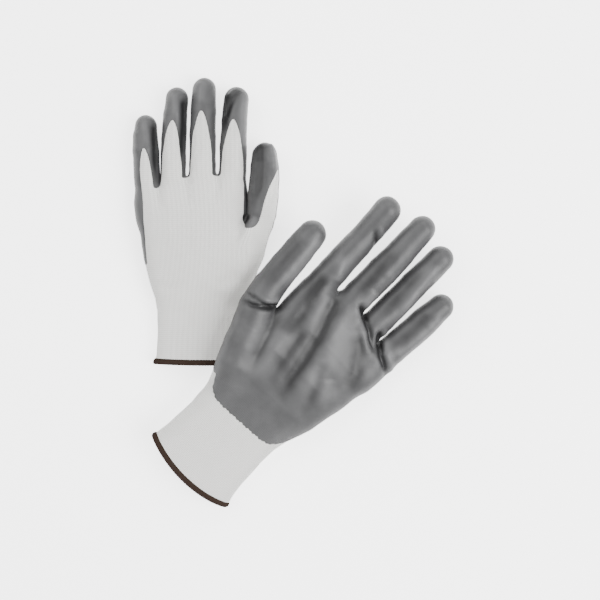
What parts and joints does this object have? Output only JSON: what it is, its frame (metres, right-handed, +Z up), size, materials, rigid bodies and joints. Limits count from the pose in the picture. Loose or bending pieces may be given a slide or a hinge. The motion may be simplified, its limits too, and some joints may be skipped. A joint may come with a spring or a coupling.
{
  "type": "work gloves",
  "caption": "Left-hand knitted work gloves with rubber-dipped palms and overlocked cuffs, one lying palm down and the other palm up across it; every digit bends.",
  "frame": {"origin": "middle of the pair's outline, on the surface it lies on", "axes": "+Z up; +Y along the lower glove's fingers; +X toward the lower glove's thumb side"},
  "size_m": [0.241, 0.323, 0.0417],
  "materials": {
    "knit_white": "fine plain knit",
    "coating_grey": "satin nitrile dip",
    "hem_brown": "overlock thread",
    "elastic_yarn": "covered elastic yarn"
  },
  "bodies": {
    "lower_hand": {"lower_hand_liner": "knit_white", "lower_wrist_cuff": "knit_white", "lower_cuff_hem": "hem_brown", "lower_cuff_elastic": "elastic_yarn", "lower_palm_coating": "coating_grey"},
    "lower_thumb_base": {"lower_thumb_base_liner": "knit_white", "lower_thumb_base_coating": "coating_grey"},
    "lower_thumb_tip": {"lower_thumb_tip_liner": "knit_white", "lower_thumb_tip_coating": "coating_grey"},
    "lower_index_base": {"lower_index_base_liner": "knit_white", "lower_index_base_coating": "coating_grey"},
    "lower_index_tip": {"lower_index_tip_liner": "knit_white", "lower_index_tip_coating": "coating_grey"},
    "lower_middle_base": {"lower_middle_base_liner": "knit_white", "lower_middle_base_coating": "coating_grey"},
    "lower_middle_tip": {"lower_middle_tip_liner": "knit_white", "lower_middle_tip_coating": "coating_grey"},
    "lower_ring_base": {"lower_ring_base_liner": "knit_white", "lower_ring_base_coating": "coating_grey"},
    "lower_ring_tip": {"lower_ring_tip_liner": "knit_white", "lower_ring_tip_coating": "coating_grey"},
    "lower_little_base": {"lower_little_base_liner": "knit_white", "lower_little_base_coating": "coating_grey"},
    "lower_little_tip": {"lower_little_tip_liner": "knit_white", "lower_little_tip_coating": "coating_grey"},
    "upper_hand": {"upper_hand_liner": "knit_white", "upper_wrist_cuff": "knit_white", "upper_cuff_hem": "hem_brown", "upper_cuff_elastic": "elastic_yarn", "upper_palm_coating": "coating_grey"},
    "upper_thumb_base": {"upper_thumb_base_liner": "knit_white", "upper_thumb_base_coating": "coating_grey"},
    "upper_thumb_tip": {"upper_thumb_tip_liner": "knit_white", "upper_thumb_tip_coating": "coating_grey"},
    "upper_index_base": {"upper_index_base_liner": "knit_white", "upper_index_base_coating": "coating_grey"},
    "upper_index_tip": {"upper_index_tip_liner": "knit_white", "upper_index_tip_coating": "coating_grey"},
    "upper_middle_base": {"upper_middle_base_liner": "knit_white", "upper_middle_base_coating": "coating_grey"},
    "upper_middle_tip": {"upper_middle_tip_liner": "knit_white", "upper_middle_tip_coating": "coating_grey"},
    "upper_ring_base": {"upper_ring_base_liner": "knit_white", "upper_ring_base_coating": "coating_grey"},
    "upper_ring_tip": {"upper_ring_tip_liner": "knit_white", "upper_ring_tip_coating": "coating_grey"},
    "upper_little_base": {"upper_little_base_liner": "knit_white", "upper_little_base_coating": "coating_grey"},
    "upper_little_tip": {"upper_little_tip_liner": "knit_white", "upper_little_tip_coating": "coating_grey"}
  },
  "joints": [
    {"name": "upper_lift", "type": "slide", "parent": "lower_hand", "child": "upper_hand", "axis": [0, 0, 1], "range_m": [0, 0.1]},
    {"name": "lower_thumb_base_bend", "type": "hinge", "parent": "lower_hand", "child": "lower_thumb_base", "pos_m": [-0.02287, 0.06573, 0.00663], "axis": [-0.9996, 0.0285, 0], "range_deg": [-10, 75]},
    {"name": "lower_thumb_tip_bend", "type": "hinge", "parent": "lower_thumb_base", "child": "lower_thumb_tip", "pos_m": [-0.02224, 0.08773, 0.00638], "axis": [-0.9996, 0.0285, 0], "range_deg": [-10, 75]},
    {"name": "lower_index_base_bend", "type": "hinge", "parent": "lower_hand", "child": "lower_index_base", "pos_m": [-0.04499, 0.09376, 0.00628], "axis": [-0.999, 0.044, 0], "range_deg": [-10, 75]},
    {"name": "lower_index_tip_bend", "type": "hinge", "parent": "lower_index_base", "child": "lower_index_tip", "pos_m": [-0.04371, 0.12276, 0.00602], "axis": [-0.999, 0.044, 0], "range_deg": [-10, 75]},
    {"name": "lower_middle_base_bend", "type": "hinge", "parent": "lower_hand", "child": "lower_middle_base", "pos_m": [-0.06838, 0.09375, 0.00608], "axis": [-0.9998, 0.0184, 0], "range_deg": [-10, 75]},
    {"name": "lower_middle_tip_bend", "type": "hinge", "parent": "lower_middle_base", "child": "lower_middle_tip", "pos_m": [-0.06781, 0.12476, 0.00577], "axis": [-0.9998, 0.0184, 0], "range_deg": [-10, 75]},
    {"name": "lower_ring_base_bend", "type": "hinge", "parent": "lower_hand", "child": "lower_ring_base", "pos_m": [-0.09026, 0.09176, 0.00598], "axis": [-0.9992, 0.0403, 0], "range_deg": [-10, 75]},
    {"name": "lower_ring_tip_bend", "type": "hinge", "parent": "lower_ring_base", "child": "lower_ring_tip", "pos_m": [-0.08909, 0.12076, 0.00573], "axis": [-0.9992, 0.0403, 0], "range_deg": [-10, 75]},
    {"name": "lower_little_base_bend", "type": "hinge", "parent": "lower_hand", "child": "lower_little_base", "pos_m": [-0.11107, 0.08478, 0.0057], "axis": [-1, 0.0026, 0], "range_deg": [-10, 75]},
    {"name": "lower_little_tip_bend", "type": "hinge", "parent": "lower_little_base", "child": "lower_little_tip", "pos_m": [-0.11102, 0.10678, 0.00556], "axis": [-1, 0.0026, 0], "range_deg": [-10, 75]},
    {"name": "upper_thumb_base_bend", "type": "hinge", "parent": "upper_hand", "child": "upper_thumb_base", "pos_m": [-0.01091, 0.00038, 0.03343], "axis": [0.7669, -0.614, -0.1867], "range_deg": [-10, 75]},
    {"name": "upper_thumb_tip_bend", "type": "hinge", "parent": "upper_thumb_base", "child": "upper_thumb_tip", "pos_m": [0.00481, 0.01993, 0.03374], "axis": [0.7669, -0.614, -0.1867], "range_deg": [-10, 75]},
    {"name": "upper_index_base_bend", "type": "hinge", "parent": "upper_hand", "child": "upper_index_base", "pos_m": [0.03379, 0.01283, 0.02875], "axis": [0.7074, -0.6815, -0.1874], "range_deg": [-10, 75]},
    {"name": "upper_index_tip_bend", "type": "hinge", "parent": "upper_index_base", "child": "upper_index_tip", "pos_m": [0.05541, 0.03504, 0.02961], "axis": [0.7074, -0.6815, -0.1874], "range_deg": [-10, 75]},
    {"name": "upper_middle_base_bend", "type": "hinge", "parent": "upper_hand", "child": "upper_middle_base", "pos_m": [0.05312, -0.00565, 0.02438], "axis": [0.7077, -0.6812, -0.1874], "range_deg": [-10, 75]},
    {"name": "upper_middle_tip_bend", "type": "hinge", "parent": "upper_middle_base", "child": "upper_middle_tip", "pos_m": [0.07751, 0.01946, 0.02521], "axis": [0.7077, -0.6812, -0.1874], "range_deg": [-10, 75]},
    {"name": "upper_ring_base_bend", "type": "hinge", "parent": "upper_hand", "child": "upper_ring_base", "pos_m": [0.06866, -0.02188, 0.01916], "axis": [0.7008, -0.6884, -0.1874], "range_deg": [-10, 75]},
    {"name": "upper_ring_tip_bend", "type": "hinge", "parent": "upper_ring_base", "child": "upper_ring_tip", "pos_m": [0.09121, 0.00085, 0.01997], "axis": [0.7008, -0.6884, -0.1874], "range_deg": [-10, 75]},
    {"name": "upper_little_base_bend", "type": "hinge", "parent": "upper_hand", "child": "upper_little_base", "pos_m": [0.07895, -0.04264, 0.01332], "axis": [0.6531, -0.7339, -0.1868], "range_deg": [-10, 75]},
    {"name": "upper_little_tip_bend", "type": "hinge", "parent": "upper_little_base", "child": "upper_little_tip", "pos_m": [0.09689, -0.02658, 0.01293], "axis": [0.6531, -0.7339, -0.1868], "range_deg": [-10, 75]}
  ],
  "couplings": [
    {"joint": "lower_thumb_tip_bend", "follows": "lower_thumb_base_bend", "ratio": 1},
    {"joint": "lower_index_tip_bend", "follows": "lower_index_base_bend", "ratio": 1},
    {"joint": "lower_middle_tip_bend", "follows": "lower_middle_base_bend", "ratio": 1},
    {"joint": "lower_ring_tip_bend", "follows": "lower_ring_base_bend", "ratio": 1},
    {"joint": "lower_little_tip_bend", "follows": "lower_little_base_bend", "ratio": 1},
    {"joint": "upper_thumb_tip_bend", "follows": "upper_thumb_base_bend", "ratio": 1},
    {"joint": "upper_index_tip_bend", "follows": "upper_index_base_bend", "ratio": 1},
    {"joint": "upper_middle_tip_bend", "follows": "upper_middle_base_bend", "ratio": 1},
    {"joint": "upper_ring_tip_bend", "follows": "upper_ring_base_bend", "ratio": 1},
    {"joint": "upper_little_tip_bend", "follows": "upper_little_base_bend", "ratio": 1}
  ]
}
